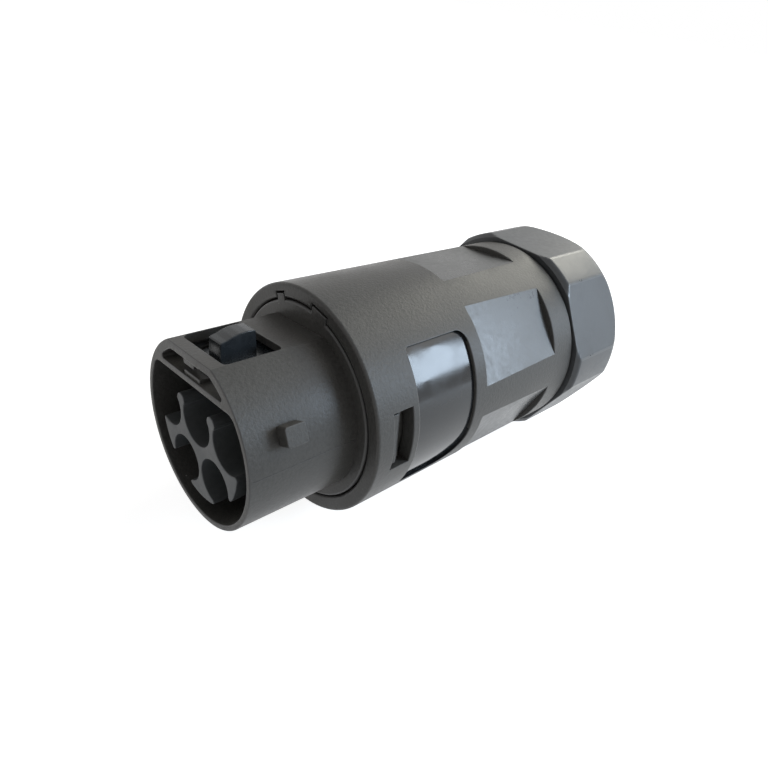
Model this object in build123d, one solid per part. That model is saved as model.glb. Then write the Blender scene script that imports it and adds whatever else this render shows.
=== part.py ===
from build123d import *
from math import cos, radians, sin
import os

# Five-pole AC cable connector for a solar microinverter.
# Millimetres. The connector's axis is X: the mating nose points to -X and the gland nut to +X.
# X = 0 is the sleeve's front rim. Every piece is drawn with the latch up, on the +Z side, and
# saved turned about X by LIE_DEG, because the loose connector lies on a flat of its nut.

# Clearances and small edges
PLAY = 0.1
RUN = 0.06
EDGE = 0.25
PAST = 1.0

# Sleeve
SLEEVE_R = 17.5
SLEEVE_TAPER = 0.4
SLEEVE_WALL = 2.3
SLEEVE_BORE = SLEEVE_R - SLEEVE_WALL
SLEEVE_END = 45.84
FLAT_START = 22.4
FLAT_END = SLEEVE_END - 5.34
FLAT_DEPTH = 1.4
FLAT_DIST = SLEEVE_R - FLAT_DEPTH
PANEL_START = 7.8
PANEL_END = 19.85
PANEL_LOW = -10.1
PANEL_HIGH = 11.35
PANEL_DEPTH = 0.45
WINDOW_START = 3.05
WINDOW_END = 6.6
WINDOW_HALF = 4.4
KEY_DEPTH = 3.0
NARROW_KEY = 1.74
WIDE_KEY = 3.2
KEY_HIGH = 0.75
KEY_PLAY = 0.18

# Insert: flange in the sleeve's mouth and barrel in its bore
FLANGE_R = SLEEVE_BORE - 1.5 * PLAY
FLANGE_THICK = 2.0
BARREL_R = SLEEVE_BORE - 2.5 * PLAY
BARREL_WALL = 2.05
BARREL_BORE = BARREL_R - BARREL_WALL
CARRIER_STEP = 0.45
POCKET_START = 0.5
SEAL_START = 12.9
SEAL_END = 14.9
SEAL_DEPTH = 1.1
SEAL_FLOOR = BARREL_R - SEAL_DEPTH
TONGUE_START = 2.6
TONGUE_END = 11.6
TONGUE_SLIT = 1.0
TAB_HALF = WINDOW_HALF - 5 * PLAY
TAB_START = WINDOW_START + 2 * PLAY
TAB_END = WINDOW_END - 2.5 * PLAY
TAB_TOP = SLEEVE_BORE + 1.3

# Nose
NOSE_TIP = -16.68
NOSE_WALL = 0.83
CHAMBER_R = BARREL_BORE - CARRIER_STEP
NOSE_R = CHAMBER_R + NOSE_WALL
FLAT_Z = NOSE_R - 1.22
SLOT_ROOF = FLAT_Z - 1.14
SLOT_TALL = 2.36
SLOT_FLOOR = SLOT_ROOF - SLOT_TALL
SLOT_R = NOSE_R - 1.33
SLOT_END = -1.55
CHAMBER_ROOF = SLOT_FLOOR - 0.9
CHAMBER_FLOOR = -3.0
CHAMBER_CORNER = 1.9
LATCH_START = NOSE_TIP + 1.98
LATCH_END = LATCH_START + 8.4
LATCH_HALF = (NOSE_R**2 - FLAT_Z**2) ** 0.5 - 0.16
LUG_START = NOSE_TIP + 4.63
LUG_END = LUG_START + 3.05
LUG_WIDE = 2.7
LUG_TOP = NOSE_R + 1.92
LUG_DEG = 160.2
RIB_START = NOSE_TIP + 0.28
RIB_END = NOSE_TIP + 1.68
RIB_HALF = 2.0
LIP_START = -4.6
LIP_END = -3.8
LIP_HALF = 4.5

# Latch
ROOT_X = -2.6
ROOT_R = 0.95
ROOT_Z = SLOT_FLOOR + 1.21
BLADE_START = LATCH_START + 0.4
BLADE_HALF = 3.4
BLADE_LOW = SLOT_FLOOR + 1.16
BLADE_HIGH = BLADE_LOW + 0.7
HOOK_HALF = 1.5

# Contacts: places of the poles as seen from the mating side
UPPER_Y = CHAMBER_R - 4.7
UPPER_Z = 1.78
MIDDLE_Z = 2.08
LOWER_DEG = 35.4
LOWER_REACH = CHAMBER_R - 5.8
LOWER_Y = LOWER_REACH * sin(radians(LOWER_DEG))
LOWER_Z = -LOWER_REACH * cos(radians(LOWER_DEG))
POLES = {
    "l1": (UPPER_Y, UPPER_Z),
    "l2": (0.0, MIDDLE_Z),
    "l3": (-UPPER_Y, UPPER_Z),
    "n": (LOWER_Y, LOWER_Z),
    "pe": (-LOWER_Y, LOWER_Z),
}
WEB_WALL = 0.89
CAVITY_R = (UPPER_Y - WEB_WALL) / 2
RIM_BITE = 0.18
WEB_R = LOWER_REACH + CAVITY_R - RIM_BITE
WEB_FRONT = NOSE_TIP + 0.26
ARM_Y = UPPER_Y / 2 + 0.075
ARM_TIP_Z = 3.8
ARM_TIP_R = 0.95
CARRIER_BACK = 5.0
PIN_R = 1.25
PIN_TIP = NOSE_TIP + 6.28
COLLAR_R = 2.1
COLLAR_THICK = 1.15
TAIL_R = 1.5
TAIL_LONG = 4.5
CLAMP_R = 2.8
CLAMP_START = CARRIER_BACK + 1.2
CLAMP_END = CLAMP_START + 13.2
BLOCK_END = CLAMP_END + 1.2
INSERT_END = BLOCK_END + 1.4
WIRE_R = 1.7
WIRE_SHIFT = -0.45
WIRE_START = CLAMP_START + 5.6
SCREW_X = CLAMP_END - 1.9
SCREW_R = 1.45
SCREW_LONG = 2.35
SCREW_FOOT = 1.15
SLOT_WIDE = 0.55
NIB_START = BLOCK_END - 2.45
NIB_END = BLOCK_END - 0.4
NIB_HALF = 1.9

# Gland
SPIGOT_STEP = 2.5
SPIGOT_R = SLEEVE_R - SPIGOT_STEP
SPIGOT_WALL = 2.05
SPIGOT_BORE = SPIGOT_R - SPIGOT_WALL
SPIGOT_END = SLEEVE_END + 9.16
ROOM_WALL = 2.5
ROOM_R = FLAT_DIST - ROOM_WALL
STEP_END = SLEEVE_END - 1.84
STEP_START = STEP_END - 4.0
CLAW_R = SPIGOT_BORE - PLAY
CLAW_WALL = 1.55
CLAW_BORE = CLAW_R - CLAW_WALL
CLAW_LIP = CLAW_BORE - 1.7
CLAW_TAPER = SPIGOT_END - 1.0
CLAW_END = CLAW_TAPER + 3.0
STEP_BORE = CLAW_LIP + 6 * PLAY
CONE_SLOPE = 0.85
SEAL_R = CLAW_BORE - 3 * PLAY
CABLE_GRIP = 4.2
CABLE_R = SEAL_R - CABLE_GRIP
RING_BIG = CLAW_R - 1.5 * PLAY
RING_SMALL = RING_BIG - 2.8
RING_FRONT = CLAW_TAPER + 1.8 * PLAY
RING_BACK = RING_FRONT + 1.37
CONE_FRONT = RING_BACK + 1.9 * PLAY
CABLE_HOLE_R = CABLE_R + 1.4
CONE_SMALL = CABLE_HOLE_R + 0.7
CONE_END = CONE_FRONT + (CLAW_R - CONE_SMALL) / CONE_SLOPE
NUT_START = SLEEVE_END + 0.26
NUT_END = CONE_END + 1.213
NUT_FLAT = SLEEVE_R - 0.15
NUT_CORNER = NUT_FLAT + 1.25
NUT_TURN_DEG = 6.6
NUT_BORE = SPIGOT_R + RUN
LIE_DEG = -NUT_TURN_DEG


def at(x):
    """Plane square to the connector's axis; its own axes are Y and Z."""
    return Plane(origin=(x, 0, 0), x_dir=(0, 1, 0), z_dir=(1, 0, 0))


def prism(sketch, x0, x1):
    """Sketch drawn in Y and Z, pulled out from x0 to x1."""
    return extrude(at(x0) * sketch, amount=x1 - x0)


def turned(*corners):
    """Solid of revolution about the connector's axis from (x, radius) corners."""
    return revolve(Plane.XZ * make_face(Polyline(*corners, close=True)), Axis.X, 360)


def block(x0, x1, y0, y1, z0, z1):
    """Box between two corners."""
    middle = Pos((x0 + x1) / 2, (y0 + y1) / 2, (z0 + z1) / 2)
    return middle * Box(abs(x1 - x0), abs(y1 - y0), abs(z1 - z0))


def round_x(radius, x0, x1, y=0.0, z=0.0):
    """Round bar along X."""
    return prism(Pos(y, z) * Circle(radius), x0, x1)


def below(z):
    """Half plane under a height, drawn in Y and Z."""
    wide = 3 * SLEEVE_R
    return Pos(0, z - wide / 2) * Rectangle(wide, wide)


def outward(name):
    """Direction in which a pole's clamp screw faces, as (y, z)."""
    y, z = POLES[name]
    if y == 0:
        return 0.0, 1.0
    if z > 0:
        return (1.0 if y > 0 else -1.0), 0.0
    length = (y * y + z * z) ** 0.5
    return y / length, z / length


def radial_bar(name, radius, start, length):
    """Round bar along a pole's clamp screw, from start to start + length off the pole's axis."""
    y, z = POLES[name]
    dy, dz = outward(name)
    foot = Plane(origin=(SCREW_X, y + dy * start, z + dz * start), x_dir=(0, -dz, dy), z_dir=(0, dy, dz))
    return extrude(foot * Circle(radius), amount=length)


def save(node, *solids):
    """Writes a piece, or a set of alike pieces, turned as the connector lies."""
    laid = [Rot(LIE_DEG, 0, 0) * solid for solid in solids]
    export_step(laid[0] if len(laid) == 1 else Compound(children=laid), f"parts/{node}.step")


def nose_outline():
    """Circle with a flat on the latch side."""
    return Circle(NOSE_R) & below(FLAT_Z)


def chamber_outline(play=0.0):
    """D-shaped mating chamber, or the plug that closes it when play is given."""
    shape = Circle(CHAMBER_R - play) & below(CHAMBER_ROOF - play)
    return fillet(shape.vertices().group_by(Axis.Y)[-1], CHAMBER_CORNER)


def slot_outline():
    """Latch slot between the chamber's roof and the flat."""
    shape = (Circle(SLOT_R) & below(SLOT_ROOF)) - below(SLOT_FLOOR)
    return fillet(shape.vertices(), 1.6 * EDGE)


def flange_keys(x0, x1, reach, play=0.0):
    """Narrow and wide key on the flange, or with play their notches in the sleeve."""
    foot = FLANGE_R - 5 * EDGE
    keys = []
    for angle, size in ((73.5, NARROW_KEY), (106.5, WIDE_KEY)):
        half = size / 2 + play
        keys.append(Rot(angle, 0, 0) * block(x0, x1, foot, reach, -half, half))
    return keys[0] + keys[1]


def key_lug():
    """Block on the nose's side that turns the mating connector the right way."""
    lug = block(LUG_START, LUG_END, NOSE_R - 3 * EDGE, LUG_TOP, -LUG_WIDE / 2, LUG_WIDE / 2)
    lug = chamfer(lug.faces().sort_by(Axis.Y)[-1].edges(), 0.8 * EDGE)
    return Rot(LUG_DEG, 0, 0) * lug


def latch_window():
    """Opening in the flat for the latch's hook."""
    outline = RectangleRounded(LATCH_END - LATCH_START, 2 * LATCH_HALF, 3 * EDGE)
    middle = Plane(origin=((LATCH_START + LATCH_END) / 2, 0, (SLOT_ROOF + SLOT_FLOOR) / 2), z_dir=(0, 0, 1))
    return extrude(middle * outline, amount=SLEEVE_R / 3)


def snap_tab(side):
    """Wedge on a sprung tongue: a square stop towards the nose, a ramp towards the nut."""
    low = BARREL_R - 4 * EDGE
    corners = [(TAB_START, low), (TAB_START, TAB_TOP), (TAB_START + 4 * EDGE, TAB_TOP),
               (TAB_END, BARREL_R), (TAB_END, low)]
    face = make_face(Polyline(*corners, close=True))
    foot = Plane(origin=(0, 0, -TAB_HALF), x_dir=(1, 0, 0), z_dir=(0, 0, 1))
    wedge = extrude(foot * face, amount=2 * TAB_HALF)
    return wedge if side > 0 else mirror(wedge, Plane.XZ)


def slot_fittings():
    """Ribs in the slot's mouth, and the lips that keep the latch's root in."""
    def rib(y0, y1, z0, z1):
        return block(RIB_START, RIB_END, y0, y1, z0, z1)

    sunk = EDGE / 2
    parts = rib(-RIB_HALF, RIB_HALF, SLOT_FLOOR - sunk, SLOT_FLOOR + 0.54)
    parts += rib(-RIB_HALF / 3, RIB_HALF, SLOT_ROOF - 0.95, SLOT_ROOF + sunk)
    parts += rib(-RIB_HALF, RIB_HALF / 3, SLOT_ROOF - 0.42, SLOT_ROOF + sunk)
    lip = (SLOT_TALL - (BLADE_HIGH - BLADE_LOW)) / 2 - 1.5 * EDGE
    parts += block(LIP_START, LIP_END, -LIP_HALF, LIP_HALF, SLOT_FLOOR - sunk, SLOT_FLOOR + lip)
    parts += block(LIP_START, LIP_END, -LIP_HALF, LIP_HALF, SLOT_ROOF - lip, SLOT_ROOF + sunk)
    return parts


def tongue_slits():
    """Slits that free a tongue on each side of the barrel."""
    outer, inner = BARREL_R + PAST, BARREL_BORE / 1.5
    slits = None
    for side in (1, -1):
        for z in (WINDOW_HALF - 1.6 * EDGE, -WINDOW_HALF + 1.6 * EDGE - TONGUE_SLIT):
            slit = block(TONGUE_START, TONGUE_END, side * inner, side * outer, z, z + TONGUE_SLIT)
            slits = slit if slits is None else slits + slit
        slits += block(TONGUE_START, TAB_START, side * inner, side * outer, -WINDOW_HALF, WINDOW_HALF)
    return slits


def nib_places():
    """Turned places of the two nibs that hold the terminal block in the barrel."""
    return [Rot(angle, 0, 0) for angle in (50, 130)]


def make_nose_shell():
    shell = prism(nose_outline(), NOSE_TIP, FLANGE_THICK)
    shell = chamfer(shell.faces().sort_by(Axis.X)[0].edges(), EDGE)
    shell += round_x(FLANGE_R, 0.0, FLANGE_THICK)
    shell += round_x(BARREL_R, FLANGE_THICK, INSERT_END)
    shell += flange_keys(0.0, KEY_DEPTH - 4 * PLAY, SLEEVE_BORE + KEY_HIGH)
    shell += key_lug()
    shell -= prism(chamber_outline(), NOSE_TIP - PAST, POCKET_START)
    shell -= round_x(BARREL_BORE, POCKET_START, INSERT_END + PAST)
    shell -= prism(slot_outline(), NOSE_TIP - PAST, SLOT_END)
    shell -= latch_window()
    shell += slot_fittings()
    shell -= round_x(BARREL_R + PAST, SEAL_START, SEAL_END) - round_x(SEAL_FLOOR, SEAL_START, SEAL_END)
    shell -= tongue_slits()
    for side in (1, -1):
        shell += snap_tab(side)
    for name in POLES:
        shell -= radial_bar(name, CLAMP_R - 2 * EDGE, CLAMP_R + 2 * EDGE, SLEEVE_R)
    for place in nib_places():
        shell -= place * block(NIB_START - PLAY, NIB_END + 2 * PLAY, BARREL_BORE - PAST, BARREL_R + PAST,
                               -NIB_HALF - 2 * PLAY, NIB_HALF + 2 * PLAY)
    return shell


def make_latch():
    """Sprung lever: hook in the window, thin blade in the slot, rounded root at the rear."""
    blade = block(BLADE_START, ROOT_X, -BLADE_HALF, BLADE_HALF, BLADE_LOW, BLADE_HIGH)
    blade = fillet(blade.edges().filter_by(Axis.Z).group_by(Axis.X)[0], 3 * EDGE)
    low = (BLADE_LOW + BLADE_HIGH) / 2
    front, back = LATCH_START + 1.55, LATCH_END - 1.49
    rise = [(0.19, 0.88), (1.11, 1.06), (1.98, 1.39), (2.99, 1.62), (4.15, 1.68), (5.33, 1.56)]
    hook_line = [(front, low)] + [(front + dx, FLAT_Z + dz) for dx, dz in rise] + [(back, low)]
    face = make_face(Polyline(*hook_line, close=True))
    side = Plane(origin=(0, HOOK_HALF, 0), x_dir=(1, 0, 0), z_dir=(0, -1, 0))
    hook = extrude(side * face, amount=2 * HOOK_HALF)
    root = Pos(ROOT_X, 0, ROOT_Z) * Rot(90, 0, 0) * Cylinder(ROOT_R, 2 * LIP_HALF + 4 * PLAY)
    return blade + hook + root


def make_cavity_web():
    """Insulating web that stands on the carrier, between the five cavities."""
    web = Circle(WEB_R) & below(ARM_TIP_Z)
    for y, z in POLES.values():
        web -= Pos(y, z) * Circle(CAVITY_R)
    web = Sketch() + max(web.faces(), key=lambda face: face.area)
    rim = [v for v in web.vertices() if abs((v.X**2 + v.Y**2) ** 0.5 - WEB_R) < 0.01]
    web = fillet([v for v in rim if v.Y < 0], 1.6 * EDGE)
    for side in (1, -1):
        web += Pos(side * ARM_Y, ARM_TIP_Z) * Circle(ARM_TIP_R)
    return prism(web, WEB_FRONT, CHAMBER_FLOOR - PLAY / 5)


def make_contact_carrier():
    """Insulator that closes the chamber and holds the pins' collars."""
    body = prism(chamber_outline(PLAY), CHAMBER_FLOOR, POCKET_START + EDGE)
    body += round_x(BARREL_BORE - PLAY, POCKET_START + PLAY / 2, CARRIER_BACK)
    for y, z in POLES.values():
        body -= round_x(PIN_R + PLAY / 5, CHAMBER_FLOOR - PAST, CARRIER_BACK + PAST, y, z)
        seat = CARRIER_BACK - COLLAR_THICK - PLAY / 2
        body -= round_x(COLLAR_R + PLAY / 2, seat, CARRIER_BACK + PAST, y, z)
    return body


def make_pin(name):
    """Turned contact pin with a rounded tip, a stop collar and a tail."""
    y, z = POLES[name]
    collar = CARRIER_BACK - COLLAR_THICK
    tail = CLAMP_START + TAIL_LONG
    return Pos(0, y, z) * turned(
        (PIN_TIP, 0), (PIN_TIP, 0.4 * PIN_R), (PIN_TIP + 0.3 * PIN_R, 0.8 * PIN_R),
        (PIN_TIP + 0.8 * PIN_R, PIN_R), (collar, PIN_R), (collar, COLLAR_R),
        (CARRIER_BACK, COLLAR_R), (CARRIER_BACK, TAIL_R),
        (tail - EDGE, TAIL_R), (tail, TAIL_R - EDGE), (tail, 0))


def make_wire_clamp(name):
    """Round brass clamp pressed on the pin's tail, with an off-centre hole for the wire."""
    y, z = POLES[name]
    dy, dz = outward(name)
    clamp = chamfer(round_x(CLAMP_R, CLAMP_START, CLAMP_END, y, z).edges(), EDGE)
    clamp -= round_x(TAIL_R, CLAMP_START - PAST, CLAMP_START + TAIL_LONG + 2 * EDGE, y, z)
    clamp -= round_x(WIRE_R, WIRE_START, CLAMP_END + PAST, y + dy * WIRE_SHIFT, z + dz * WIRE_SHIFT)
    clamp -= radial_bar(name, SCREW_R + PLAY / 5, EDGE, 2 * CLAMP_R)
    return clamp


def make_screw(name):
    """Slotted clamp screw, backed off to take a wire."""
    y, z = POLES[name]
    dy, dz = outward(name)
    top = SCREW_FOOT + SCREW_LONG - 2 * SLOT_WIDE
    head = Plane(origin=(SCREW_X, y + dy * top, z + dz * top), x_dir=(1, 0, 0), z_dir=(0, dy, dz))
    slot = extrude(head * Rectangle(3 * SCREW_R, SLOT_WIDE), amount=2 * PAST)
    return radial_bar(name, SCREW_R, SCREW_FOOT, SCREW_LONG) - slot


def make_terminal_block():
    """Rear insulator with a chamber for each clamp and a way in to each screw."""
    body = round_x(BARREL_BORE - PLAY, CARRIER_BACK + PLAY / 2, BLOCK_END)
    for name, (y, z) in POLES.items():
        body -= round_x(CLAMP_R + PLAY / 2, CLAMP_START - PLAY, BLOCK_END + PAST, y, z)
        body -= round_x(COLLAR_R + PLAY, CARRIER_BACK - PAST, CLAMP_START + PAST, y, z)
        body -= radial_bar(name, SCREW_R + 2 * EDGE, PAST, SLEEVE_R)
    nib = block(NIB_START, NIB_END, BARREL_BORE - 4 * EDGE, BARREL_R - 4 * EDGE, -NIB_HALF, NIB_HALF)
    nib = chamfer(nib.edges().filter_by(Axis.Z).group_by(Axis.Y)[-1].sort_by(Axis.X)[-1], 3 * EDGE)
    for place in nib_places():
        body += place * nib
    return body


def make_insert_seal():
    """Rubber ring in the barrel's groove, squeezed by the sleeve's bore."""
    wide = SEAL_END - SEAL_START - 1.6 * PLAY
    tall = SLEEVE_BORE - SEAL_FLOOR - 0.4 * PLAY
    middle = Pos((SEAL_START + SEAL_END) / 2, (SEAL_FLOOR + SLEEVE_BORE) / 2)
    return revolve(Plane.XZ * middle * RectangleRounded(wide, tall, 0.4 * tall), Axis.X, 360)


def sleeve_radius(x):
    """Outer radius of the sleeve, which narrows a little towards the nut."""
    return SLEEVE_R - SLEEVE_TAPER * min(x / FLAT_END, 1.0)


def label_panel():
    """Shallow recess for a label on the -Y side."""
    corners = {(PANEL_START, PANEL_LOW): 2 * EDGE, (PANEL_START, PANEL_HIGH): 2 * EDGE,
               (PANEL_END, PANEL_HIGH): 7 * EDGE, (PANEL_END, PANEL_LOW): 24 * EDGE}
    outline = make_face(Polyline(*corners, close=True))
    for (x, z), radius in corners.items():
        nearest = outline.vertices().sort_by(lambda v: abs(v.X - x) + abs(v.Y - z))[0]
        outline = fillet(nearest, radius)
    plug = extrude(Plane(origin=(0, 0, 0), x_dir=(1, 0, 0), z_dir=(0, -1, 0)) * outline,
                   amount=SLEEVE_R + PAST)
    core = turned((0, 0), (0, SLEEVE_R - PANEL_DEPTH),
                  (FLAT_START, sleeve_radius(FLAT_START) - PANEL_DEPTH), (FLAT_START, 0))
    return plug - core


def make_sleeve():
    """Outer body: mouth for the insert, six flats with one on the latch side, threaded spigot."""
    back = sleeve_radius(FLAT_END)
    neck = SPIGOT_R - 2 * EDGE
    outer = turned(
        (0, 0), (0, SLEEVE_R - 2 * EDGE), (2 * EDGE, sleeve_radius(2 * EDGE)), (FLAT_END, back),
        (SLEEVE_END - 2 * EDGE, back), (SLEEVE_END, back - 2 * EDGE), (SLEEVE_END, neck),
        (SLEEVE_END + 4 * EDGE, neck), (SLEEVE_END + 6 * EDGE, SPIGOT_R),
        (SPIGOT_END - 2 * EDGE, SPIGOT_R), (SPIGOT_END, neck), (SPIGOT_END, 0))
    wrench = RegularPolygon(FLAT_DIST, 6, major_radius=False)
    outer -= prism(Circle(2 * SLEEVE_R) - wrench, FLAT_START, FLAT_END)
    shoulder = INSERT_END + 2 * PLAY
    bore = turned(
        (-PAST, 0), (-PAST, SLEEVE_BORE + EDGE), (0, SLEEVE_BORE + EDGE), (EDGE, SLEEVE_BORE),
        (shoulder, SLEEVE_BORE), (shoulder, ROOM_R), (STEP_START, ROOM_R),
        (STEP_START + 5 * EDGE, STEP_BORE), (STEP_END, STEP_BORE), (STEP_END, SPIGOT_BORE),
        (SPIGOT_END + PAST, SPIGOT_BORE), (SPIGOT_END + PAST, 0))
    body = outer - bore
    body -= flange_keys(-PAST, KEY_DEPTH, SLEEVE_BORE + KEY_HIGH + 3 * PLAY, KEY_PLAY)
    body -= label_panel()
    for side in (1, -1):
        inner, outer = side * SLEEVE_BORE / 1.3, side * (SLEEVE_R + PAST)
        body -= block(WINDOW_START, WINDOW_END, inner, outer, -WINDOW_HALF, WINDOW_HALF)
    return body


def make_clamp_claw():
    """Claw ring whose fingers the nut's cone presses on the cable seal."""
    lip_end = STEP_END + 5 * EDGE
    foot = STEP_END + PLAY / 2
    tip_r = CLAW_R - CONE_SLOPE * (CLAW_END - CLAW_TAPER)
    ring = turned(
        (foot, CLAW_LIP), (foot, CLAW_R), (CLAW_TAPER, CLAW_R), (CLAW_END, tip_r),
        (CLAW_END, CLAW_LIP - PLAY), (CLAW_END - 6 * EDGE, CLAW_BORE),
        (lip_end, CLAW_BORE), (lip_end, CLAW_LIP))
    slit = block(lip_end + 8 * EDGE, CLAW_END + PAST, CLAW_LIP / 2, SLEEVE_R, -2.4 * EDGE, 2.4 * EDGE)
    for k in range(12):
        ring -= Rot(30 * k, 0, 0) * slit
    return ring


def make_cable_seal():
    """Rubber seal round the cable."""
    front = STEP_END + 5 * EDGE + PLAY / 2
    back = CLAW_END - 1.1
    body = turned(
        (front, CABLE_R + 2 * EDGE), (front, SEAL_R), (back - 9 * EDGE, SEAL_R),
        (back - EDGE, SEAL_R - 3 * EDGE), (back, SEAL_R - 6 * EDGE), (back, CABLE_R + 2 * EDGE),
        (back - 3 * EDGE, CABLE_R), (front + 3 * EDGE, CABLE_R))
    for k in range(3):
        x0 = front + (9 + 9 * k) * EDGE
        x1 = x0 + 4 * EDGE
        body -= round_x(SEAL_R + PAST, x0, x1) - round_x(SEAL_R - 2 * EDGE, x0, x1)
    return body


def make_slip_ring():
    """Thin cone that slides on the fingers while the nut turns on it."""
    deep = (CLAW_R - RING_BIG) / CONE_SLOPE, (CLAW_R - RING_SMALL) / CONE_SLOPE
    return turned((RING_FRONT + deep[0], RING_BIG), (RING_BACK + deep[0], RING_BIG),
                  (RING_BACK + deep[1], RING_SMALL), (RING_FRONT + deep[1], RING_SMALL))


def make_gland_nut():
    """Hexagonal nut with its corners turned down, a cone inside and a hole for the cable."""
    shell = turned(
        (NUT_START, 0), (NUT_START, NUT_CORNER - 3 * EDGE), (NUT_START + 3 * EDGE, NUT_CORNER),
        (NUT_END - 3.2, NUT_CORNER), (NUT_END - 0.4, NUT_CORNER - 2.0),
        (NUT_END, NUT_CORNER - 2.5), (NUT_END, 0))
    hexagon = RegularPolygon(NUT_FLAT, 6, major_radius=False, rotation=NUT_TURN_DEG)
    shell &= prism(hexagon, NUT_START - PAST, NUT_END + PAST)
    thread_end = SPIGOT_END + 0.3
    cone_big = CLAW_R + CONE_SLOPE * (CONE_FRONT - thread_end)
    inside = turned(
        (NUT_START - PAST, 0), (NUT_START - PAST, NUT_BORE + 2 * EDGE),
        (NUT_START, NUT_BORE + 2 * EDGE), (NUT_START + 2 * EDGE, NUT_BORE),
        (thread_end, NUT_BORE), (thread_end, cone_big), (CONE_END, CONE_SMALL),
        (CONE_END + 0.2, CABLE_HOLE_R), (NUT_END - 0.4, CABLE_HOLE_R),
        (NUT_END, CABLE_HOLE_R + 0.4), (NUT_END + PAST, CABLE_HOLE_R + 0.4), (NUT_END + PAST, 0))
    return shell - inside


os.makedirs("parts", exist_ok=True)

save("nose_shell", make_nose_shell())
save("latch", make_latch())
save("cavity_web", make_cavity_web())
save("contact_carrier", make_contact_carrier())
save("terminal_block", make_terminal_block())
for pole in POLES:
    save(f"pin_{pole}", make_pin(pole))
    save(f"wire_clamp_{pole}", make_wire_clamp(pole))
save("clamp_screws", *[make_screw(pole) for pole in POLES])
save("insert_seal", make_insert_seal())
save("sleeve", make_sleeve())
save("clamp_claw", make_clamp_claw())
save("cable_seal", make_cable_seal())
save("slip_ring", make_slip_ring())
save("gland_nut", make_gland_nut())
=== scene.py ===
# %% [markdown]
# # A round AC connector for a solar microinverter
# The real object is a field connector: a nose that plugs into its partner, a sleeve that is
# gripped by hand or spanner, and a hexagonal nut that squeezes a seal on the cable.
# The CAD model is already packed. This first cell loads it as a fixed frame. The shapes made
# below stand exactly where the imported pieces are, with the finer edges and threads added.

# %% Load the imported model
import math
from contextlib import contextmanager

import bmesh
import bpy
from mathutils import Matrix, Vector


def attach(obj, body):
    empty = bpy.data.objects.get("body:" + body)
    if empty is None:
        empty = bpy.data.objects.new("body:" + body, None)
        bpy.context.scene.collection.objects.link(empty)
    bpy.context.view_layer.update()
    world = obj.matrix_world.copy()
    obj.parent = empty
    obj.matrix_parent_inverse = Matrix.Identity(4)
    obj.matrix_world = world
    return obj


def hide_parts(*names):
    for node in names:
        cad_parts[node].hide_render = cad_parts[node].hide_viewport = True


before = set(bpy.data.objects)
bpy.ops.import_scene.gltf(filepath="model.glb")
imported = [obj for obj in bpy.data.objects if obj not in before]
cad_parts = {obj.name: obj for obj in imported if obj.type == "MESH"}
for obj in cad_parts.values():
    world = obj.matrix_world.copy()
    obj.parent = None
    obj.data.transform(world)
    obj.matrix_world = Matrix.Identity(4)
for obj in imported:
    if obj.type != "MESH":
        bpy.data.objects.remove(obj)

for name in ("Cube", "Light", "Camera"):
    if name in bpy.data.objects:
        bpy.data.objects.remove(bpy.data.objects[name])
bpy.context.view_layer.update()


def added(name, data):
    """New object in the scene, at the origin."""
    obj = bpy.data.objects.new(name, data)
    bpy.context.collection.objects.link(obj)
    return obj


# %% [markdown]
# ## The camera
# The photograph was taken from about eleven centimetres away, so near things look much larger
# than far ones. The camera's place and turn come from matching the round rims, the flats and
# the nut, and the shift stays at zero.

# %% Camera
PHOTO_SIDE = 768
FOCAL_PIXELS = 627.5

lens = bpy.data.cameras.new("camera")
lens.sensor_width = 36.0
lens.lens = lens.sensor_width * FOCAL_PIXELS / PHOTO_SIDE
lens.clip_start = 0.001
camera = added("camera", lens)
camera.location = (-0.047674, -0.060771, 0.053041)
camera.rotation_euler = [math.radians(a) for a in (57.557, -7.888, -42.063)]
bpy.context.scene.camera = camera
print(f"lens {lens.lens:.2f} mm, {camera.location.length * 1000:.0f} mm from the sleeve's rim")

# %% [markdown]
# ## Drawing in millimetres, with the latch up
# The connector is drawn with its axis along X and its latch on top. Loose on a table it rolls
# until a flat of the nut is down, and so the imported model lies. `lay` rolls each piece over.

# %% Lay a finished piece in the frame
ROLL = math.radians(-6.6)
LAID = Matrix.Rotation(ROLL, 4, "X") @ Matrix.Scale(0.001, 4)


def lay(obj, body, slot, *nodes):
    """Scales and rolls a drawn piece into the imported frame, where it stands for some nodes."""
    obj.data.transform(LAID)
    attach(obj, body)
    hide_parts(*nodes)
    obj.data.calc_loop_triangles()
    print(f"{obj.name}: {len(obj.data.loop_triangles)} triangles on body {body}")
    return obj


print(f"each piece is rolled by {math.degrees(ROLL):.1f} degrees about X")

# %% [markdown]
# ## Turned and pushed-out shapes
# Nearly every piece is either turned about the axis, like a ring, or pushed out from an
# outline, like a web. A corner of the outline may carry a radius: a moulded edge is never
# sharp, and its thin highlight tells the eye that the part is plastic and not a drawing.

# %% Outlines
def spaced(first, last, count):
    """Evenly spaced numbers with both ends."""
    return [first + (last - first) * k / (count - 1) for k in range(count)]


def rounded(corners, arc_points=9):
    """Outline from corners (u, v) or (u, v, radius), with the given radii."""
    points = []
    for i, corner in enumerate(corners):
        here = Vector(corner[:2])
        if len(corner) == 2:
            points.append(here)
            continue
        back = (Vector(corners[i - 1][:2]) - here).normalized()
        ahead = (Vector(corners[(i + 1) % len(corners)][:2]) - here).normalized()
        half = back.angle(ahead) / 2
        centre = here + (back + ahead).normalized() * corner[2] / math.sin(half)
        start = here + back * corner[2] / math.tan(half) - centre
        end = here + ahead * corner[2] / math.tan(half) - centre
        turn = math.atan2(start.x * end.y - start.y * end.x, start.dot(end))
        for angle in spaced(0, turn, arc_points):
            c, s = math.cos(angle), math.sin(angle)
            points.append(centre + Vector((c * start.x - s * start.y, s * start.x + c * start.y)))
    return points


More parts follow.
